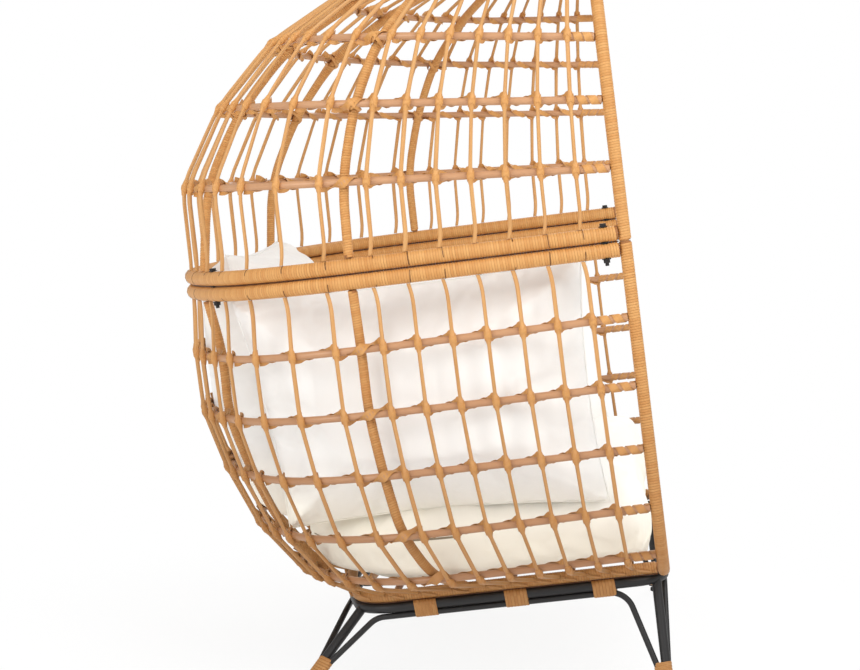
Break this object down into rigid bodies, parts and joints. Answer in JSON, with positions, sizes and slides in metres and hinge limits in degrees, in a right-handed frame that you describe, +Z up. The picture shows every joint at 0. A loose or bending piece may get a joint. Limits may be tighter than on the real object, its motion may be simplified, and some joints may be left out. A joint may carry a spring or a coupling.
{
  "type": "nest chair",
  "caption": "Egg-shaped wicker nest chair: a barred dome bolted on a barred bowl, loose cushions inside, on a splayed steel base.",
  "frame": {"origin": "on the floor, under the middle of the bounding box", "axes": "+Z up, -Y out of the opening where the sitter looks, +X to the sitter's left"},
  "size_m": [1.0858, 0.8817, 1.304],
  "materials": {
    "wicker_wrap": "satin",
    "wicker_strand": "satin",
    "wicker_binding": "satin",
    "hoop_rod": "satin",
    "frame_steel": "satin",
    "base_steel": "satin",
    "fastener": "satin",
    "glide": "matt",
    "canvas": "matt"
  },
  "bodies": {
    "root": {"base_bindings": "wicker_binding", "base_bolts": "fastener", "base_nuts": "fastener", "base_ring": "base_steel", "base_tabs": "base_steel", "bowl_back_ribs": "frame_steel", "bowl_hoop_1": "hoop_rod", "bowl_hoop_2": "hoop_rod", "bowl_hoop_3": "hoop_rod", "bowl_hoop_4": "hoop_rod", "bowl_hoop_5": "hoop_rod", "bowl_rib_wraps": "wicker_wrap", "bowl_rim_tube": "frame_steel", "bowl_rim_wrap": "wicker_wrap", "bowl_ring_tube": "frame_steel", "bowl_ring_wrap": "wicker_wrap", "bowl_side_ribs": "frame_steel", "bowl_strands_back": "wicker_strand", "bowl_strands_left": "wicker_strand", "bowl_strands_right": "wicker_strand", "brace_front": "base_steel", "brace_left": "base_steel", "brace_rear": "base_steel", "brace_right": "base_steel", "dome_arch_tube": "frame_steel", "dome_arch_wrap": "wicker_wrap", "dome_back_ribs": "frame_steel", "dome_hoop_1": "hoop_rod", "dome_hoop_2": "hoop_rod", "dome_hoop_3": "hoop_rod", "dome_hoop_4": "hoop_rod", "dome_hoop_5": "hoop_rod", "dome_rib_wraps": "wicker_wrap", "dome_ring_tube": "frame_steel", "dome_ring_wrap": "wicker_wrap", "dome_side_ribs": "frame_steel", "dome_strands_back": "wicker_strand", "dome_strands_left": "wicker_strand", "dome_strands_right": "wicker_strand", "foot_bindings": "wicker_binding", "foot_glides": "glide", "leg_front_left": "base_steel", "leg_front_right": "base_steel", "leg_rear_left": "base_steel", "leg_rear_right": "base_steel", "pillow_back": "canvas", "pillow_left": "canvas", "pillow_right": "canvas", "seat_bars": "frame_steel", "seat_cushion": "canvas", "seat_ring_tube": "frame_steel", "seat_ring_wrap": "wicker_wrap", "seat_tabs": "frame_steel", "waist_bolts": "fastener", "waist_nuts": "fastener", "waist_washers": "fastener"}
  },
  "joints": []
}
